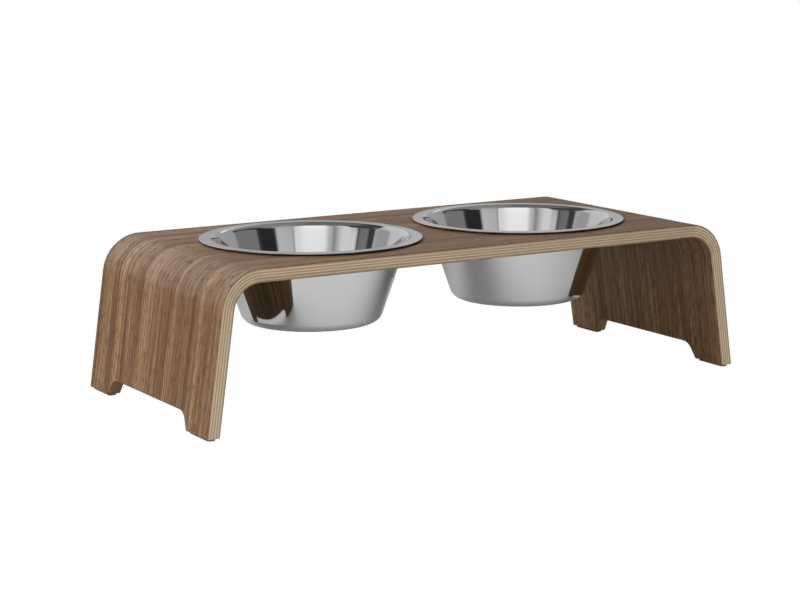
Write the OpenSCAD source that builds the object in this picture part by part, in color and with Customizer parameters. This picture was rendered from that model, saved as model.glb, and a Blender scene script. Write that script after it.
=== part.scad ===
// Raised feeder stand for a dog: a sheet of moulded plywood bent into a low bridge, with two steel
// bowls that hang by their rims in round openings in its top.
// Frame: X along the stand, Y from front to back, Z up, origin on the floor under the middle.

/* [Stand] */
// Length over the feet
stand_l = 560; // [540:1:620]
// Depth from front to back
stand_d = 240; // [225:1:280]
// Height of the wooden top above the floor
stand_h = 141; // [125:1:160]
// Outer radius of the two bends
bend_r = 37; // [30:1:42]
// Lean of each leg from upright, in degrees
leg_lean = 8.4; // [4:0.1:10]

/* [Feet] */
// Width of each foot where it meets its pad
foot_w = 39.5; // [30:0.5:50]
// Height of the cut between the two feet of a leg
notch_h = 15; // [12:0.5:20]
// Radius of that cut's upper corners
notch_r = 12; // [6:0.5:12]
// Lean of that cut's sides from upright, in degrees
notch_lean = 30; // [20:1:40]
// Thickness of the pad under each foot
pad_t = 2; // [1:0.5:4]
// How far a pad stays inside the edges of its foot
pad_inset = 2.5; // [1:0.5:4]

/* [Laminate] */
// Thickness of each walnut face veneer
veneer_t = 0.6; // [0.5:0.1:0.8]
// Thickness of each core ply
ply_t = 1.2; // [1:0.1:1.4]
// Number of core plies
ply_count = 9; // [7:2:11]

/* [Bowls] */
// Distance between the two bowls' centres
bowl_pitch = 226; // [214:1:236]
// Diameter of each opening in the top
opening_d = 180; // [178:1:182]
// Outer diameter of a bowl's flat rim
rim_d = 201.5; // [200:0.5:208]
// Diameter inside, where the line of the wall meets the rim
mouth_d = 174.6; // [170:0.2:175]
// Diameter inside, where the line of the wall meets the floor
floor_d = 122.8; // [110:0.2:130]
// Depth inside, from the top of the rim to the floor
bowl_depth = 76.3; // [60:0.1:90]
// Thickness of the steel
steel_t = 0.8; // [0.6:0.1:1.2]
// Radius of the bend from the rim into the wall
lip_r = 6; // [3:0.5:7]
// Radius inside, between the wall and the floor
floor_r = 10; // [4:0.5:14]

/* [Bowl rings] */
// Thickness of the ring under each rim
ring_t = 1.5; // [1:0.1:2.5]
// Width of the ring
ring_w = 6; // [4:0.5:6]
// How far the ring stays inside the edge of the rim
ring_inset = 2.25; // [1.5:0.25:3]

/* [Hidden] */
$fn = 96;
// Steps in an arc of an outline
arc_steps = 24;
// How far a cutting shape reaches past what it cuts
cut = 1;
laminate_t = 2 * veneer_t + ply_count * ply_t;
leg_h = stand_h - pad_t;
// Width of a foot's underside along X
sole_w = laminate_t / cos(leg_lean);
rim_z = stand_h + ring_t + steel_t;
wall_lean = atan((mouth_d - floor_d) / 2 / bowl_depth);
// Half the angle between rim and wall sets how far a rounded corner's centre lies from its tip
corner_run = (1 - sin(wall_lean)) / cos(wall_lean);
ring_d = rim_d - 2 * ring_inset;
sides = ["left", "right"];
rows = ["front", "rear"];

function reversed(points) = [for (i = [len(points) - 1:-1:0]) points[i]];

function arc(centre, r, from, to) = [
    for (i = [0:arc_steps])
        let (turn = from + (to - from) * i / arc_steps)
            centre + r * [cos(turn), sin(turn)]
];

// Outline of a bridge with leaning sides and rounded upper corners, open at height 0
function bridge(half_w, h, r, lean) =
    let (
        centre = [half_w - (r + (h - r) * sin(lean)) / cos(lean), h - r],
        right_side = concat([[half_w, 0]], arc(centre, r, lean, 90))
    )
        concat(right_side, [for (p = reversed(right_side)) [-p.x, p.y]]);

// Outline of the stand's surface that lies inset below its outer face
function stand_outline(inset) =
    bridge(stand_l / 2 - inset / cos(leg_lean), leg_h - inset, bend_r - inset, leg_lean);

// Upper or lower face of a bowl's steel, depth below the upper one, with its floor at height 0
function bowl_face(depth) =
    let (
        lip = [mouth_d / 2 + lip_r * corner_run, bowl_depth - lip_r],
        corner = [floor_d / 2 - floor_r * corner_run, floor_r]
    )
        concat(
            [[rim_d / 2, bowl_depth - depth]],
            arc(lip, lip_r - depth, 90, 180 - wall_lean),
            arc(corner, floor_r + depth, -wall_lean, -90),
            [[0, -depth]]
        );

// -1 for left or front, 1 for right or rear
function sign_of(names, name) = name == names[0] ? -1 : 1;

module at_bowl(side) {
    translate([sign_of(sides, side) * bowl_pitch / 2, 0, 0]) children();
}

// Both legs' cuts between their feet, as one bar right through the stand
module foot_notches() {
    reach = stand_l + 2 * cut;
    half_w = stand_d / 2 - foot_w + cut * tan(notch_lean);
    translate([-reach / 2, 0, pad_t - cut])
        rotate([90, 0, 90])
            linear_extrude(reach)
                polygon(bridge(half_w, notch_h + cut, notch_r, notch_lean));
}

// One layer of the laminate, with its outer face inset below the stand's
module layer(inset, thickness) {
    difference() {
        translate([0, 0, pad_t])
            rotate([90, 0, 0])
                linear_extrude(stand_d, center = true)
                    polygon(concat(stand_outline(inset), reversed(stand_outline(inset + thickness))));
        for (side = sides)
            at_bowl(side)
                translate([0, 0, stand_h - laminate_t - cut])
                    cylinder(h = laminate_t + 2 * cut, d = opening_d);
        foot_notches();
    }
}

module outer_face_veneer() {
    color("#876952") layer(0, veneer_t);
}

// The first, third and other odd plies have their grain across the stand and look darker on the edge
module core_ply(number) {
    color(number % 2 == 1 ? "#8f7355" : "#bea587") layer(veneer_t + (number - 1) * ply_t, ply_t);
}

module inner_face_veneer() {
    color("#6d5441") layer(laminate_t - veneer_t, veneer_t);
}

module bowl(side) {
    color("silver")
        at_bowl(side)
            translate([0, 0, rim_z - bowl_depth])
                rotate_extrude() polygon(concat(bowl_face(0), reversed(bowl_face(steel_t))));
}

module bowl_ring(side) {
    color("#242220")
        at_bowl(side)
            translate([0, 0, stand_h])
                difference() {
                    cylinder(h = ring_t, d = ring_d);
                    translate([0, 0, -cut]) cylinder(h = ring_t + 2 * cut, d = ring_d - 2 * ring_w);
                }
}

module foot_pad(row, side) {
    pad_w = sole_w - 2 * pad_inset;
    pad_l = foot_w - 2 * pad_inset;
    color("#6e655c")
        translate([
            sign_of(sides, side) * (stand_l - sole_w) / 2 - pad_w / 2,
            sign_of(rows, row) * (stand_d - foot_w) / 2 - pad_l / 2,
            0
        ])
            cube([pad_w, pad_l, pad_t]);
}

outer_face_veneer();
for (number = [1:ply_count])
    core_ply(number);
inner_face_veneer();
for (side = sides) {
    bowl(side);
    bowl_ring(side);
    for (row = rows)
        foot_pad(row, side);
}
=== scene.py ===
import math

import bmesh
import bpy
from mathutils import Matrix, Vector


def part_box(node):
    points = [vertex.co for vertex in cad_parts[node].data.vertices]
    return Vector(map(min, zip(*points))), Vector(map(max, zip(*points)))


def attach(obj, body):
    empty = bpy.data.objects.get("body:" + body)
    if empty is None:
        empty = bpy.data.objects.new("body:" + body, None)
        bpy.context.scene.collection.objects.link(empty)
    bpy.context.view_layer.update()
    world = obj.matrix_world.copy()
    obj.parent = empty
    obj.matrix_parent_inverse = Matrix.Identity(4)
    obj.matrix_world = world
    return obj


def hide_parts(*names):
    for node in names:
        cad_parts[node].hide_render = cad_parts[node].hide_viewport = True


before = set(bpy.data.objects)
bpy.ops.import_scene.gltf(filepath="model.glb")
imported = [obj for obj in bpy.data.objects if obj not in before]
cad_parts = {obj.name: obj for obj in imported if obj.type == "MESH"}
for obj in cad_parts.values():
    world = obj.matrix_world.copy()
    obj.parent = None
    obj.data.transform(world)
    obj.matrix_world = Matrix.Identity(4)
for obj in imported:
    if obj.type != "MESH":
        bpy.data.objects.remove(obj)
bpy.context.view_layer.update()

# Bent laminate: nine core plies between two walnut veneers, glued up in one mould into a low bridge.
# The grain of the plies crosses by turns. The round openings and the gaps between the feet are cut
# through all eleven sheets, the gaps are stained brown, and the outer arrises are sanded round.
SIDES = ("left", "right")
BEND_RADIUS = 0.037
LEG_LEAN = math.radians(8.4)
VENEER = 0.0006
PLY = 0.0012
PLY_COUNT = 9
LAMINATE = 2 * VENEER + PLY_COUNT * PLY
OPENING = 0.180
FOOT_WIDTH = 0.0395
NOTCH_HEIGHT = 0.015
NOTCH_RADIUS = 0.012
NOTCH_LEAN = math.radians(30)
ARRIS = 0.00035
SHARP_ANGLE = math.radians(30)
BEND_STEPS = 40
OPENING_STEPS = 160
# How far a cutting shape reaches past what it cuts
CUT = 0.001
# How far round a bend from the top the lacquer is rubbed most, as a share of the bend
RUBBED_SHARE = 0.6

stand_low, stand_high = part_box("outer_face_veneer")
stand_size = stand_high - stand_low
bend_run = BEND_RADIUS * (math.pi / 2 - LEG_LEAN)
straight_leg = stand_size.z - BEND_RADIUS
bend_start = stand_size.x / 2 - (BEND_RADIUS + straight_leg * math.sin(LEG_LEAN)) / math.cos(LEG_LEAN)
rubbed_middle = bend_start + RUBBED_SHARE * bend_run
bowl_x = {}
for side in SIDES:
    low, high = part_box(side + "_bowl")
    bowl_x[side] = (low.x + high.x) / 2


class Wire:
    """A socket of a node tree, or the bare tree. Arithmetic on a wire adds Math nodes to its tree."""

    def __init__(self, tree, socket=None):
        self.tree = tree
        self.socket = socket

    def node(self, kind, settings=None, inputs=None, output=0):
        """Add a node, set it up, feed its sockets with values or wires, and give one of its outputs."""
        made = self.tree.nodes.new(kind)
        for name, value in (settings or {}).items():
            if name == "stops":
                ramp = made.color_ramp.elements
                while len(ramp) < len(value):
                    ramp.new(1.0)
                for stop, (place, colour) in zip(ramp, value):
                    stop.position = place
                    stop.color = colour
            else:
                setattr(made, name, value)
        for name, value in (inputs or {}).items():
            for part in value if isinstance(value, list) else [value]:
                if isinstance(part, Wire):
                    self.tree.links.new(part.socket, made.inputs[name])
                else:
                    made.inputs[name].default_value = part
        return Wire(self.tree, made.outputs[output] if made.outputs else None)

    def out(self, name):
        """Another output of the node that this wire comes from."""
        return Wire(self.tree, self.socket.node.outputs[name])

    def split(self):
        """The three parts of a vector."""
        first = self.node("ShaderNodeSeparateXYZ", {}, {"Vector": self})
        return first, first.out("Y"), first.out("Z")

    def vector(self, x, y, z):
        return self.node("ShaderNodeCombineXYZ", {}, {"X": x, "Y": y, "Z": z})

    def math(self, operation, *values):
        return self.node("ShaderNodeMath", {"operation": operation}, dict(enumerate(values)))

    def ramp(self, low, high):
        """0 below low and 1 above high, with a soft step between them."""
        soft = {"interpolation_type": "SMOOTHSTEP"}
        return self.node("ShaderNodeMapRange", soft, {"Value": self, "From Min": low, "From Max": high})

    def mix(self, start, end):
        """The colour that goes from start to end as this value goes from 0 to 1."""
        return self.node("ShaderNodeMix", {"data_type": "RGBA"}, {0: self, 6: start, 7: end}, output=2)

    def __add__(self, other):
        return self.math("ADD", self, other)

    def __radd__(self, other):
        return self.math("ADD", other, self)

    def __sub__(self, other):
        return self.math("SUBTRACT", self, other)

    def __rsub__(self, other):
        return self.math("SUBTRACT", other, self)

    def __mul__(self, other):
        return self.math("MULTIPLY", self, other)

    def __rmul__(self, other):
        return self.math("MULTIPLY", other, self)

    def __truediv__(self, other):
        return self.math("DIVIDE", self, other)

    def __gt__(self, other):
        return self.math("GREATER_THAN", self, other)

    def __lt__(self, other):
        return self.math("LESS_THAN", self, other)

    def __abs__(self):
        return self.math("ABSOLUTE", self)


def bridge_corner(corner, half_width, height, lean):
    """Corner 0 to 3 of a bridge with leaning sides: along, up, and 1 if it is one of the upper two."""
    right = corner < 1.5
    top = abs(corner - 1.5) < 1
    rise = top * height
    along = (2 * right - 1) * (half_width - rise * lean.math("TANGENT", lean))
    return along, rise, top


def rounded_prism(wire, corners, place, radius, length, turn, lift):
    """A closed outline with rounded corners, drawn out to a length, turned upright and lifted."""
    ring = wire.node("GeometryNodeCurvePrimitiveCircle", {"mode": "RADIUS"}, {"Resolution": corners})
    outline = wire.node("GeometryNodeSetPosition", {}, {"Geometry": ring, "Position": place})
    fillet = {"Curve": outline, "Count": BEND_STEPS, "Radius": radius}
    rounded = wire.node("GeometryNodeFilletCurve", {"mode": "POLY"}, fillet)
    ends = {"Start": wire.vector(0, 0, length * -0.5), "End": wire.vector(0, 0, length * 0.5)}
    path = wire.node("GeometryNodeCurvePrimitiveLine", {"mode": "POINTS"}, ends)
    drawn = {"Curve": path, "Profile Curve": rounded, "Fill Caps": True}
    prism = wire.node("GeometryNodeCurveToMesh", {}, drawn)
    placed = {"Geometry": prism, "Rotation": turn, "Translation": wire.vector(0, 0, lift)}
    return wire.node("GeometryNodeTransform", {}, placed)


SHEET_SIZES = {
    "Length": stand_size.x,
    "Depth": stand_size.y,
    "Height": stand_size.z,
    "Floor Gap": stand_low.z,
    "Bend Radius": BEND_RADIUS,
    "Leg Lean": LEG_LEAN,
    "Bowl Pitch": bowl_x["right"] - bowl_x["left"],
    "Opening": OPENING,
    "Foot Width": FOOT_WIDTH,
    "Notch Height": NOTCH_HEIGHT,
    "Notch Radius": NOTCH_RADIUS,
    "Notch Lean": NOTCH_LEAN,
    "Laminate": LAMINATE,
    "Inset": 0.0,
    "Thickness": VENEER,
}


def sheet_tree():
    """The rule for one sheet of the laminate, which lies Inset below the outer face."""
    tree = bpy.data.node_groups.new("laminate_sheet", "GeometryNodeTree")
    for name in SHEET_SIZES:
        tree.interface.new_socket(name=name, in_out="INPUT", socket_type="NodeSocketFloat")
    tree.interface.new_socket(name="Finish", in_out="INPUT", socket_type="NodeSocketMaterial")
    tree.interface.new_socket(name="Sheet", in_out="OUTPUT", socket_type="NodeSocketGeometry")
    wire = Wire(tree)
    given = wire.node("NodeGroupInput")
    size = {name: given.out(name) for name in SHEET_SIZES}
    lean = size["Leg Lean"]
    sine = lean.math("SINE", lean)
    cosine = lean.math("COSINE", lean)

    # Four corners along the outer face from the right sole to the left one, then four back inside
    index = wire.node("GeometryNodeInputIndex")
    inside = index > 3.5
    inset = size["Inset"] + inside * size["Thickness"]
    along, rise, top = bridge_corner(
        index + inside * (7 - 2 * index),
        size["Length"] * 0.5 - inset / cosine,
        size["Height"] - inset,
        lean,
    )
    bent = rounded_prism(
        wire, 8, wire.vector(along, rise, 0), top * (size["Bend Radius"] - inset),
        size["Depth"], (math.pi / 2, 0, 0), size["Floor Gap"],
    )

    bore = {"Vertices": OPENING_STEPS, "Radius": size["Opening"] * 0.5, "Depth": size["Height"]}
    cutter = wire.node("GeometryNodeMeshCylinder", {}, bore)
    centres = {
        "Count": 2,
        "Start Location": wire.vector(size["Bowl Pitch"] * -0.5, 0, size["Height"]),
        "Offset": wire.vector(size["Bowl Pitch"], 0, 0),
    }
    points = wire.node("GeometryNodeMeshLine", {"mode": "OFFSET"}, centres)
    pair = wire.node("GeometryNodeInstanceOnPoints", {}, {"Points": points, "Instance": cutter})
    openings = wire.node("GeometryNodeRealizeInstances", {}, {"Geometry": pair})

    notch_lean = size["Notch Lean"]
    spread = CUT * notch_lean.math("TANGENT", notch_lean)
    along, rise, top = bridge_corner(
        index,
        size["Depth"] * 0.5 - size["Foot Width"] + spread,
        size["Notch Height"] + CUT,
        notch_lean,
    )
    notch = rounded_prism(
        wire, 4, wire.vector(along, rise, 0), top * size["Notch Radius"],
        size["Length"] + CUT, (math.pi / 2, 0, math.pi / 2), size["Floor Gap"] - CUT,
    )
    difference = {"operation": "DIFFERENCE", "solver": "EXACT"}
    cut = {"Mesh 1": bent, "Mesh 2": [openings, notch]}
    sheet = wire.node("GeometryNodeMeshBoolean", difference, cut)

    # Where each point lay in the flat sheet: along it, across it and below the outer face
    x, y, z = wire.node("GeometryNodeInputPosition").split()
    bend_z = size["Floor Gap"] + size["Height"] - size["Bend Radius"]
    leg_rise = size["Height"] - size["Bend Radius"]
    bend_x = size["Length"] * 0.5 - (size["Bend Radius"] + leg_rise * sine) / cosine
    outward = abs(x) - bend_x
    upward = z - bend_z
    turn = wire.math("ARCTAN2", outward, upward)
    turn = wire.math("MINIMUM", wire.math("MAXIMUM", turn, 0), math.pi / 2 - lean)
    turn_sine = wire.math("SINE", turn)
    turn_cosine = wire.math("COSINE", turn)
    run = bend_x + size["Bend Radius"] * turn + outward * turn_cosine - upward * turn_sine
    below = size["Bend Radius"] - outward * turn_sine - upward * turn_cosine
    flat_place = wire.vector(wire.math("SIGN", x) * run, y, below)
    stored = {"Geometry": sheet, "Name": "flat_place", "Value": flat_place}
    sheet = wire.node("GeometryNodeStoreNamedAttribute", {"data_type": "FLOAT_VECTOR"}, stored)

    # The gap between the feet is the only cut that faces neither front, back, outward nor the floor
    normal_x = wire.node("GeometryNodeInputNormal").split()[0]
    within = abs(y) < size["Depth"] * 0.5 - CUT
    clear = z > size["Floor Gap"] + ARRIS
    low_down = z < size["Floor Gap"] + size["Notch Height"] + ARRIS
    leg_face = abs(normal_x) > math.sin(SHARP_ANGLE)
    gap = within * clear * low_down * (1 - leg_face)
    stain = {"Geometry": sheet, "Name": "stained", "Value": gap}
    sheet = wire.node("GeometryNodeStoreNamedAttribute", {"domain": "FACE"}, stain)

    # Sharp edges on the two outer faces of the whole laminate are its arrises
    sharp = wire.node("GeometryNodeInputMeshEdgeAngle") > SHARP_ANGLE
    on_face = wire.math("MAXIMUM", below < ARRIS / 4, below > size["Laminate"] - ARRIS / 4)
    arris = {"Geometry": sheet, "Name": "bevel_weight_edge", "Value": sharp * on_face}
    sheet = wire.node("GeometryNodeStoreNamedAttribute", {"domain": "EDGE"}, arris)
    hard = {"Geometry": sheet, "Name": "sharp_edge", "Value": sharp * (1 - on_face)}
    on_edges = {"data_type": "BOOLEAN", "domain": "EDGE"}
    sheet = wire.node("GeometryNodeStoreNamedAttribute", on_edges, hard)
    smooth = wire.node("GeometryNodeSetShadeSmooth", {}, {"Geometry": sheet, "Shade Smooth": True})
    real = wire.node("GeometryNodeRealizeInstances", {}, {"Geometry": smooth})
    finish = {"Geometry": real, "Material": given.out("Finish")}
    finished = wire.node("GeometryNodeSetMaterial", {}, finish)
    wire.node("NodeGroupOutput", {}, {"Sheet": finished})
    return tree


def feed(modifier, values):
    """Set a modifier's inputs, each by its socket's identifier."""
    for item in modifier.node_group.interface.items_tree:
        if item.in_out == "INPUT" and item.name in values:
            modifier[item.identifier] = values[item.name]


def new_object(name, mesh=None):
    piece = bpy.data.objects.new(name, mesh or bpy.data.meshes.new(name))
    bpy.context.scene.collection.objects.link(piece)
    return piece


def make_plain(piece):
    """Turn what a piece's modifiers make into its own plain mesh."""
    graph = bpy.context.evaluated_depsgraph_get()
    mesh = bpy.data.meshes.new_from_object(piece.evaluated_get(graph), depsgraph=graph)
    piece.modifiers.clear()
    piece.data = mesh
    mesh.name = piece.name


def linear(red, green, blue):
    """A colour given as 0 to 255 on a screen, as Blender's shaders take it."""
    parts = [part / 255 for part in (red, green, blue)]
    return (*(p / 12.92 if p <= 0.04045 else ((p + 0.055) / 1.055) ** 2.4 for p in parts), 1.0)


def new_material(name):
    material = bpy.data.materials.new(name)
    material.use_nodes = True
    material.node_tree.nodes.clear()
    return material, Wire(material.node_tree)


def surface(wire, inputs):
    """Close a material with a Principled shader."""
    shader = wire.node("ShaderNodeBsdfPrincipled", {}, inputs)
    wire.node("ShaderNodeOutputMaterial", {}, {"Surface": shader})


def noise(wire, place, detail=2.0, rough=0.5, scale=1.0):
    cloud = {"Vector": place, "Scale": scale, "Detail": detail, "Roughness": rough}
    return wire.node("ShaderNodeTexNoise", {}, cloud)


def shaded(colour, shade):
    """A screen colour with each of its parts made lighter or darker, for a shader."""
    return linear(*(part * share for part, share in zip(colour, shade)))


# How far the grain wanders sideways, and how fast its pattern changes with depth in the laminate
GRAIN_SWAY = 0.010
FACE_SHIFT = 40


def walnut(name, shade, gloss, rubbed, figure):
    """Straight-grained walnut under satin lacquer, which is rubbed brighter over the bends.

    Shade scales the colours, and on the inner veneer paints light onto faces that lie in shade; gloss the
    lacquer's mirror image, rubbed its shine over the bends, where pores and dark veins break it up, and
    figure the contrast of the grain.
    """
    material, wire = new_material(name)
    flat = wire.node("ShaderNodeAttribute", {"attribute_name": "flat_place"}, output="Vector")
    along, across, below = flat.split()
    face = below * FACE_SHIFT
    sway = noise(wire, wire.vector(along * 2.2, across * 9, face), 1.0) - 0.5
    line = across + GRAIN_SWAY * sway

    def grain(run, side, seed, detail=1.0, rough=0.5):
        """Noise drawn out along the grain, with its counts per metre along and across it."""
        return noise(wire, wire.vector(along * run, line * side, face + seed), detail, rough)

    broad = grain(0.6, 24, 51)
    band = grain(0.8, 62, 3)
    streak = grain(1.6, 150, 7, 4.0, 0.75)
    fine = grain(5, 520, 11, 2.0, 0.6)
    fibre = grain(26, 2100, 17, 2.0)
    vein = grain(0.9, 125, 29).ramp(0.57, 0.67)
    pale = grain(1.3, 220, 37).ramp(0.60, 0.70)
    pore = grain(95, 850, 23).ramp(0.55, 0.62)
    tone = 0.18 * (broad - 0.5) + 0.16 * band + 0.27 * streak + 0.37 * fine + 0.20 * fibre
    tone = 0.5 + figure * (tone - 0.5)
    tints = {0.40: (66, 42, 22), 0.47: (100, 70, 43), 0.53: (123, 91, 61), 0.60: (166, 133, 101)}
    stops = [(place, shaded(tint, shade)) for place, tint in tints.items()]
    colour = wire.node("ShaderNodeValToRGB", {"stops": stops}, {"Fac": tone})
    dark = shaded((70, 45, 26), shade)
    light = shaded((177, 146, 117), shade)
    colour = (0.40 * figure * vein).mix(colour, dark)
    colour = (0.28 * figure * pale).mix(colour, light)
    colour = (0.75 * pore).mix(colour, dark)
    height = 0.4 * fine + 0.6 * fibre - 0.8 * pore
    bump = wire.node("ShaderNodeBump", {}, {"Height": height, "Strength": 0.25, "Distance": 0.0001})
    shine = 0.0
    if rubbed:
        off_bend = abs(abs(along) - rubbed_middle) / bend_run
        broken = 1.1 * pore + 0.5 * vein + 1.8 * (0.53 - fine)
        shine = rubbed * (1 - off_bend.ramp(0.1, 0.6)) * (1 - broken)
    surface(wire, {
        "Base Color": colour,
        "Roughness": 0.40 + 0.14 * fibre,
        "Specular IOR Level": gloss,
        "Coat Weight": shine,
        "Coat Roughness": 0.3,
        "Normal": bump,
    })
    return material


def core_ply(name, light, dark, runs_along):
    """Peeled core veneer, seen on its sanded edges: fibres along or across the stand, dark glue lines."""
    material, wire = new_material(name)
    flat = wire.node("ShaderNodeAttribute", {"attribute_name": "flat_place"}, output="Vector")
    along, across, below = flat.split()
    fibre_run = along if runs_along else across
    fibre_side = across if runs_along else along
    ring = noise(wire, wire.vector(fibre_run * 3, fibre_side * 60, below * 1500), 3.0, 0.6)
    fibre = noise(wire, wire.vector(fibre_run * 30, fibre_side * 1900, below * 5200), 2.0, 0.6)
    layer = wire.math("FRACT", (below - VENEER) / PLY)
    glue = abs(layer - 0.5).ramp(0.42, 0.5)
    tone = (0.6 * ring + 0.4 * fibre).ramp(0.3, 0.7)
    colour = tone.mix(dark, light)
    colour = (0.26 * glue).mix(colour, linear(110, 86, 62))
    stain = wire.node("ShaderNodeAttribute", {"attribute_name": "stained"}, output="Fac")
    colour = (0.9 * stain).mix(colour, linear(150, 114, 84))
    bump = wire.node("ShaderNodeBump", {}, {"Height": fibre - glue, "Strength": 0.3, "Distance": 0.0001})
    surface(wire, {
        "Base Color": colour,
        "Roughness": 0.5 + 0.2 * fibre,
        "Specular IOR Level": 0.25,
        "Normal": bump,
    })
    return material


outer_walnut = walnut("outer_walnut", (1.02, 1.02, 1.02), 0.26, 0.82, 0.84)
# The inner veneer is the same walnut with painted light: its colours are lighter and greyer and its
# figure fainter, on faces that lie in shade under the top
inner_walnut_painted_lighter = walnut("inner_walnut_painted_lighter", (1.22, 1.27, 1.33), 0.24, 0.0, 0.62)
long_ply = core_ply("long_ply", linear(248, 228, 198), linear(238, 214, 181), True)
cross_ply = core_ply("cross_ply", linear(216, 187, 152), linear(186, 157, 123), False)
sheet_rule = sheet_tree()

stack = [("outer_veneer", "outer_face_veneer", VENEER, outer_walnut, "walnut_veneer")]
for number in range(1, PLY_COUNT + 1):
    material, slot = (cross_ply, "cross_ply") if number % 2 else (long_ply, "long_ply")
    stack.append((f"ply_{number}", f"core_ply_{number}", PLY, material, slot))
stack.append(("inner_veneer", "inner_face_veneer", VENEER, inner_walnut_painted_lighter, "walnut_veneer"))

inset = 0.0
for name, node, thickness, material, slot in stack:
    piece = new_object(name)
    rule = piece.modifiers.new("rule", "NODES")
    rule.node_group = sheet_rule
    feed(rule, SHEET_SIZES | {"Inset": inset, "Thickness": thickness, "Finish": material})
    sanding = piece.modifiers.new("sanding", "BEVEL")
    sanding.limit_method = "WEIGHT"
    sanding.width = ARRIS
    sanding.segments = 3
    even = piece.modifiers.new("even", "WEIGHTED_NORMAL")
    even.keep_sharp = True
    make_plain(piece)
    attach(piece, "stand")
    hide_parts(node)
    inset += thickness

# Foot pads: four strips of grey rubber, one stuck under each foot a little inside its edges.
# They keep the bare end grain off a wet floor and stop the stand from sliding.
PAD_CORNER = 0.0015
PAD_CORNER_STEPS = 8
PAD_EDGE = 0.0003
pad_low, pad_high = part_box("front_left_pad")
pad_size = pad_high - pad_low
sole = LAMINATE / math.cos(LEG_LEAN)


def pad_tree():
    """One rounded strip, set on the four corners of a grid."""
    tree = bpy.data.node_groups.new("pads_under_feet", "GeometryNodeTree")
    sizes = ("Width", "Length", "Thickness", "Corner", "Spread X", "Spread Y")
    for name in sizes:
        tree.interface.new_socket(name=name, in_out="INPUT", socket_type="NodeSocketFloat")
    tree.interface.new_socket(name="Finish", in_out="INPUT", socket_type="NodeSocketMaterial")
    tree.interface.new_socket(name="Pads", in_out="OUTPUT", socket_type="NodeSocketGeometry")
    wire = Wire(tree)
    given = wire.node("NodeGroupInput")
    size = {name: given.out(name) for name in sizes}
    outline = {"Width": size["Width"], "Height": size["Length"]}
    strip = wire.node("GeometryNodeCurvePrimitiveQuadrilateral", {}, outline)
    fillet = {"Curve": strip, "Count": PAD_CORNER_STEPS, "Radius": size["Corner"]}
    strip = wire.node("GeometryNodeFilletCurve", {"mode": "POLY"}, fillet)
    path = wire.node("GeometryNodeCurvePrimitiveLine", {}, {"End": wire.vector(0, 0, size["Thickness"])})
    drawn = {"Curve": path, "Profile Curve": strip, "Fill Caps": True}
    strip = wire.node("GeometryNodeCurveToMesh", {}, drawn)
    spread = {"Size X": size["Spread X"], "Size Y": size["Spread Y"], "Vertices X": 2, "Vertices Y": 2}
    feet = wire.node("GeometryNodeMeshGrid", {}, spread)
    pads = wire.node("GeometryNodeInstanceOnPoints", {}, {"Points": feet, "Instance": strip})
    pads = wire.node("GeometryNodeRealizeInstances", {}, {"Geometry": pads})
    finish = {"Geometry": pads, "Material": given.out("Finish")}
    pads = wire.node("GeometryNodeSetMaterial", {}, finish)
    wire.node("NodeGroupOutput", {}, {"Pads": pads})
    return tree


def rubber(name, light, dark, grain):
    """Matt moulded rubber: a fine pebbled skin with a little dust."""
    material, wire = new_material(name)
    place = wire.node("ShaderNodeTexCoord", output="Object")
    pebble = noise(wire, place, 3.0, scale=grain)
    dust = noise(wire, place, scale=grain / 40)
    bump = wire.node("ShaderNodeBump", {}, {"Height": pebble, "Strength": 0.3, "Distance": 0.0001})
    surface(wire, {
        "Base Color": (0.5 * pebble + 0.5 * dust).ramp(0.3, 0.7).mix(dark, light),
        "Roughness": 0.6 + 0.25 * dust,
        "Specular IOR Level": 0.35,
        "Normal": bump,
    })
    return material


foot_pads = new_object("foot_pads")
rule = foot_pads.modifiers.new("rule", "NODES")
rule.node_group = pad_tree()
feed(rule, {
    "Width": pad_size.x,
    "Length": pad_size.y,
    "Thickness": pad_size.z,
    "Corner": PAD_CORNER,
    "Spread X": stand_size.x - sole,
    "Spread Y": stand_size.y - FOOT_WIDTH,
    "Finish": rubber("pad_rubber", linear(152, 140, 122), linear(120, 109, 94), 2400),
})
rounding = foot_pads.modifiers.new("rounding", "BEVEL")
rounding.width = PAD_EDGE
rounding.segments = 2
make_plain(foot_pads)
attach(foot_pads, "stand")
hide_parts("front_left_pad", "front_right_pad", "rear_left_pad", "rear_right_pad")

# Bowl rings: flat black silicone rings that lie on the wood round each opening, under the bowl's rim.
# They keep the steel from rattling, give a hair under its weight and stay when a bowl is lifted out.
RING_WIDTH = 0.006
RING_EDGE = 0.0005
RING_EDGE_STEPS = 6
RING_GIVE = 0.00002
TURN_STEPS = 192
ON_AXIS = 1e-9


def arc(centre, radius, start, end, steps):
    """Points on an arc in (radius, height), with its angles in degrees."""
    turns = [math.radians(start + (end - start) * step / steps) for step in range(steps + 1)]
    return [(centre[0] + radius * math.cos(turn), centre[1] + radius * math.sin(turn)) for turn in turns]


def straight(start, end, steps):
    """Points between two points of an outline, without its ends."""
    shares = [step / steps for step in range(1, steps)]
    return [(start[0] + (end[0] - start[0]) * s, start[1] + (end[1] - start[1]) * s) for s in shares]


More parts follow.
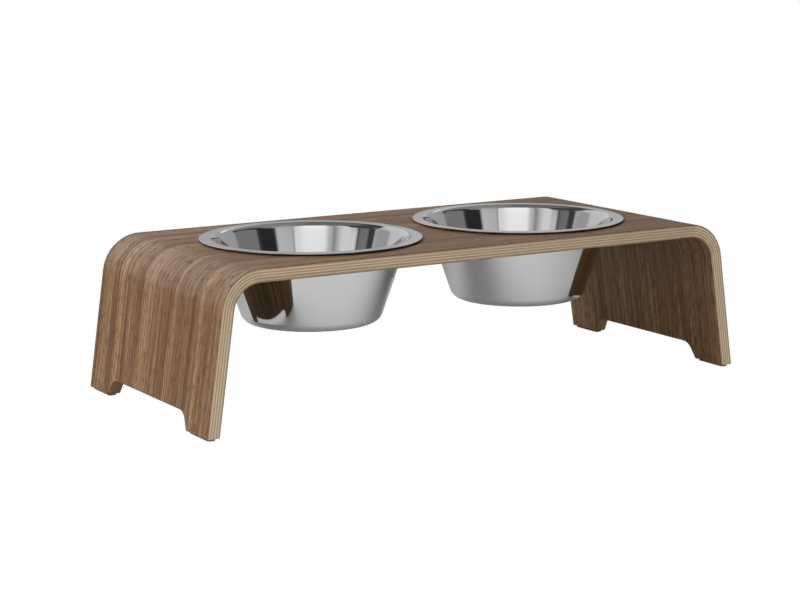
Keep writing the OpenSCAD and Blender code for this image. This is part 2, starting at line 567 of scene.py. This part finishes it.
def turned(name, outline, centre_x, closed):
    """Turn an outline of (radius, height) about an upright axis. An open outline ends on the axis."""
    shape = bmesh.new()
    run = shape.verts.layers.float.new("profile_run")
    lines = []
    travelled = 0.0
    for number, (radius, height) in enumerate(outline):
        if number:
            travelled += math.dist(outline[number - 1], outline[number])
        count = TURN_STEPS if radius > ON_AXIS else 1
        line = []
        for step in range(count):
            angle = 2 * math.pi * step / count
            x = centre_x + radius * math.cos(angle)
            vertex = shape.verts.new((x, radius * math.sin(angle), height))
            vertex[run] = travelled
            line.append(vertex)
        lines.append(line)
    for number in range(len(lines) if closed else len(lines) - 1):
        line, following = lines[number], lines[(number + 1) % len(lines)]
        for step in range(TURN_STEPS):
            after = (step + 1) % TURN_STEPS
            corners = [line[step % len(line)], line[after % len(line)]]
            corners += [following[after % len(following)], following[step % len(following)]]
            shape.faces.new(list(dict.fromkeys(corners)))
    bmesh.ops.recalc_face_normals(shape, faces=shape.faces)
    mesh = bpy.data.meshes.new(name)
    shape.to_mesh(mesh)
    shape.free()
    mesh.shade_smooth()
    return new_object(name, mesh)


silicone = rubber("ring_silicone", linear(54, 48, 43), linear(36, 32, 29), 1800)
for side in SIDES:
    low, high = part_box(side + "_bowl_ring")
    outer = (high.x - low.x) / 2 - RING_EDGE
    inner = (high.x - low.x) / 2 - RING_WIDTH + RING_EDGE
    bottom = low.z + RING_EDGE
    top = high.z - RING_GIVE - RING_EDGE
    corners = [((inner, bottom), 180), ((outer, bottom), 270), ((outer, top), 0), ((inner, top), 90)]
    outline = []
    for centre, start in corners:
        outline += arc(centre, RING_EDGE, start, start + 90, RING_EDGE_STEPS)
    ring = turned(side + "_silicone_ring", outline, bowl_x[side], True)
    ring.data.materials.append(silicone)
    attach(ring, side + "_ring")
    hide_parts(side + "_bowl_ring")

# Bowls: one pressed sheet of stainless steel each, with a flat rim that hangs on the ring. The press
# rounds the bend from rim to wall and from wall to floor, and the polishing wheel leaves faint rings.
STEEL = 0.0008
MOUTH = 0.1746
FLOOR = 0.1228
DEPTH = 0.0763
LIP_RADIUS = 0.006
FLOOR_RADIUS = 0.010
FLOOR_STEPS = 8
CORNER_STEPS = 24
WALL_STEPS = 14
LIP_STEPS = 40
RIM_STEPS = 5
EDGE_STEPS = 10
OUTSIDE_SLOPE = math.tan(math.radians(5.5))
POLISH_DEPTH = 1e-7
# The render follows four mirror images one inside another; past the last, the steel glows a painted grey
# light in place of what lies behind
LAST_IMAGE = 3.5
LOST_LIGHT = 0.3
WALL_LEAN = math.atan((MOUTH - FLOOR) / 2 / DEPTH)
CORNER_RUN = (1 - math.sin(WALL_LEAN)) / math.cos(WALL_LEAN)


def bowl_outline(rim_radius, rim_height):
    """From the middle of the floor up the inside, over the rim and back under the floor."""
    floor_height = rim_height - DEPTH
    lean = math.degrees(WALL_LEAN)
    lip = (MOUTH / 2 + LIP_RADIUS * CORNER_RUN, rim_height - LIP_RADIUS)
    corner = (FLOOR / 2 - FLOOR_RADIUS * CORNER_RUN, floor_height + FLOOR_RADIUS)
    edge = (rim_radius - STEEL / 2, rim_height - STEEL / 2)
    faces = []
    for depth in (0.0, STEEL):
        floor_arc = arc(corner, FLOOR_RADIUS + depth, -90, -lean, CORNER_STEPS)
        lip_arc = arc(lip, LIP_RADIUS - depth, 180 - lean, 90, LIP_STEPS)
        middle = (0.0, floor_height - depth)
        rim = (edge[0], rim_height - depth)
        faces.append(
            [middle]
            + straight(middle, floor_arc[0], FLOOR_STEPS)
            + floor_arc
            + straight(floor_arc[-1], lip_arc[0], WALL_STEPS)
            + lip_arc
            + straight(lip_arc[-1], rim, RIM_STEPS)
        )
    return faces[0] + arc(edge, STEEL / 2, 90, -90, EDGE_STEPS) + faces[1][::-1]


def polished_steel(rim_run):
    """Bright stainless sheet with faint rings from the polishing wheel.

    Mirror images on the outside sit lower in the photo than on a true cone, so its shading leans up.
    """
    material, wire = new_material("polished_steel")
    run = wire.node("ShaderNodeAttribute", {"attribute_name": "profile_run"}, output="Fac")
    place = wire.node("ShaderNodeTexCoord", output="Object")
    ring_marks = {"W": run, "Scale": 2600.0, "Detail": 3.0}
    rings = wire.node("ShaderNodeTexNoise", {"noise_dimensions": "1D"}, ring_marks)
    smear = noise(wire, place, 3.0, scale=30.0)
    outside = wire.math("MAXIMUM", run - rim_run, 0)
    height = OUTSIDE_SLOPE * outside + POLISH_DEPTH * rings
    bump = wire.node("ShaderNodeBump", {}, {"Height": height, "Strength": 1.0, "Distance": 1.0})
    # Painted light: the steel glows grey in mirror images past the last one followed
    lost_light_glow = LOST_LIGHT * (wire.node("ShaderNodeLightPath", output="Glossy Depth") > LAST_IMAGE)
    surface(wire, {
        "Base Color": rings.ramp(0.2, 0.8).mix(linear(196, 196, 197), linear(203, 203, 203)),
        "Metallic": 1.0,
        "Roughness": 0.03 + 0.02 * rings + 0.02 * smear,
        "Emission Color": wire.vector(lost_light_glow, lost_light_glow, lost_light_glow),
        "Emission Strength": 1.0,
        "Normal": bump,
    })
    return material


low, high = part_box("left_bowl")
outline = bowl_outline((high.x - low.x) / 2, high.z)
rim_edge = len(outline) // 2
steel = polished_steel(sum(math.dist(outline[step], outline[step + 1]) for step in range(rim_edge)))
for side in SIDES:
    bowl = turned(side + "_steel_bowl", outline, bowl_x[side], False)
    bowl.data.materials.append(steel)
    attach(bowl, side + "_bowl")
    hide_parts(side + "_bowl")

# Studio: a pale floor like a light table, a ring of soft boxes and dark cards that the steel mirrors,
# one large soft light high on the left, and a long lens a little above the bowls.
CAMERA_PLACE = (-1.0274, -1.6471, 0.4298)
CAMERA_YAW = math.radians(31.471)
CAMERA_PITCH = math.radians(10.396)
CAMERA_ROLL = math.radians(-0.214)
LENS_MM = 95.10
SENSOR_MM = 36.0
FLOOR_REACH = 40.0
FLOOR_WHITE = 0.985
SHADE_REACH = 0.35
SHADE_SEEN = 0.04
LIGHT_POOL_PLACE = (-0.16, -0.22)
LIGHT_POOL_RADII = (0.1, 0.78)
LIGHT_POOL_FADE = 0.60
DIFFUSE_FADE = 0.40
KEY_PLACE = (-1.5, 0.2, 1.35)
KEY_SIZE = 0.9
KEY_WATTS = 31.5

camera_data = bpy.data.cameras.new("camera")
camera_data.lens = LENS_MM
camera_data.sensor_width = SENSOR_MM
camera = new_object("camera", camera_data)
camera.matrix_world = (
    Matrix.Translation(CAMERA_PLACE)
    @ Matrix.Rotation(-CAMERA_YAW, 4, "Z")
    @ Matrix.Rotation(math.pi / 2 - CAMERA_PITCH, 4, "X")
    @ Matrix.Rotation(CAMERA_ROLL, 4, "Z")
)
bpy.context.scene.camera = camera
bpy.context.scene.view_settings.view_transform = "Standard"

key_data = bpy.data.lights.new("key", "AREA")
key_data.size = KEY_SIZE
key_data.energy = KEY_WATTS
key = new_object("key", key_data)
key.location = KEY_PLACE
key.rotation_euler = Vector(KEY_PLACE).to_track_quat("Z", "Y").to_euler()
key.visible_glossy = False

# A light table: it glows white, with a painted shadow where the stand covers it and a painted pool of
# light in front of the left bowl, away from which the glow fades. The camera sees little of that painted
# shade, and the wood is lit less by it than the steel.
floor_shape = bmesh.new()
bmesh.ops.create_grid(floor_shape, x_segments=8, y_segments=8, size=FLOOR_REACH)
floor_mesh = bpy.data.meshes.new("floor")
floor_shape.to_mesh(floor_mesh)
floor_shape.free()
floor = new_object("floor", floor_mesh)
floor_paint, wire = new_material("floor_paint")
# Painted shadow on the floor: ambient occlusion darkens its glow where the stand is above it
painted_floor_shadow = wire.node("ShaderNodeAmbientOcclusion", {"samples": 8}, {"Distance": SHADE_REACH}, output="AO")
seen = wire.node("ShaderNodeLightPath", output="Is Camera Ray")
x, y, z = wire.node("ShaderNodeTexCoord", output="Object").split()
# Painted pool of light: the glow fades with distance from a point in front of the left bowl
aside = x - LIGHT_POOL_PLACE[0]
ahead = y - LIGHT_POOL_PLACE[1]
away = wire.math("SQRT", aside * aside + ahead * ahead)
shade = wire.math("MINIMUM", 1.15 * painted_floor_shadow, 0.92) * (1 - LIGHT_POOL_FADE * away.ramp(*LIGHT_POOL_RADII))
shade = shade * (1 - DIFFUSE_FADE * seen.out("Is Diffuse Ray"))
glow = shade + seen * (FLOOR_WHITE + SHADE_SEEN * shade - shade)
surface(wire, {
    "Base Color": (0.0, 0.0, 0.0, 1.0),
    "Roughness": 0.9,
    "Specular IOR Level": 0.0,
    "Emission Color": wire.vector(glow, glow, glow),
    "Emission Strength": 1.0,
})
floor_paint.cycles.emission_sampling = "NONE"
floor.data.materials.append(floor_paint)

# What the steel mirrors, in degrees: from and to, rightward of the camera's own place as the object sees
# it; bottom and top; how far the top climbs from left to right; how square the corners are, from 2 for
# an oval; then brightness and soft edge. Later ones lie over earlier ones.
PANELS = (
    (30, 170, 30, 85, 0, 4, 0.42, 20),
    (-168, -38, 20, 56, 0, 4, 0.08, 12),
    (-189, -79, -60, 43.5, 0, 2, 1.03, 3),
    (-114, -87, -60, 33, -16, 8, 0.62, 8),
    (-87, -62, -60, 40, 0, 8, 0.08, 4),
    (-77, -64, -60, 23.5, 0, 8, 0.52, 5),
    (-62, -31, -60, 27, 0, 8, 1.38, 3),
    (-52, -32, 20, 48, 0, 6, 1.25, 5),
    (-26, 20, 40, 62, 0, 4, 0.50, 10),
    (-27, 25, -60, 46, 0, 8, 1.36, 2),
    (-21, 15, 29, 45, 0, 6, 1.95, 6),
    (-36, -21, -60, 40, 0, 8, 0.62, 12),
    (25, 58, 24, 55, 0, 8, 0.66, 4),
    (25, 49, -60, 28, 0, 8, 1.05, 3),
    (53, 141, -60, 48, 0, 2, 0.06, 3),
    (49, 72, -60, 30, 0, 8, 0.04, 2),
    (75, 113, -60, 31, 8, 8, 0.34, 3),
    (105, 229, -60, 43, 0, 2, 0.62, 4),
    (168, 192, 5, 15, 0, 8, 0.72, 4),
    (-192, -171, 5, 15, 0, 8, 0.62, 4),
    (148, 200, -60, 7, 0, 8, 0.08, 3),
    (-200, -158, -60, 7, 0, 8, 0.45, 4),
    (156, 178, 25, 31, 0, 4, 1.70, 3),
)
CEILING = 0.27
# White for the camera, because the background's own colour is a grey of 0.8
BACKDROP = 1.25

world = bpy.data.worlds.new("studio")
bpy.context.scene.world = world
world.use_nodes = True
world.node_tree.nodes.clear()
wire = Wire(world.node_tree)
x, y, z = wire.node("ShaderNodeTexCoord", output="Generated").split()
towards = -math.sin(CAMERA_YAW) * x - math.cos(CAMERA_YAW) * y
rightward = math.cos(CAMERA_YAW) * x - math.sin(CAMERA_YAW) * y
azimuth = wire.math("DEGREES", wire.math("ARCTAN2", rightward, towards))
height = wire.math("DEGREES", wire.math("ARCSINE", z))
glow = CEILING
for left, right, bottom, top, climb, square, level, soft in PANELS:
    width = (right - left) / 2
    rise = (top - bottom) / 2
    aside = (azimuth - (left + right) / 2) / width
    above = (height - climb / 2 * aside - (bottom + top) / 2) / rise
    sides = wire.math("POWER", abs(aside), square) + wire.math("POWER", abs(above), square)
    reach = wire.math("POWER", sides, 1 / square)
    edge = soft / 2 / min(width, rise)
    glow = glow + (1 - reach.ramp(1 - edge, 1 + edge)) * (level - glow)
seen = wire.node("ShaderNodeLightPath", output="Is Camera Ray")
background = wire.node("ShaderNodeBackground", {}, {"Strength": glow + seen * (BACKDROP - glow)})
wire.node("ShaderNodeOutputWorld", {}, {"Surface": background})
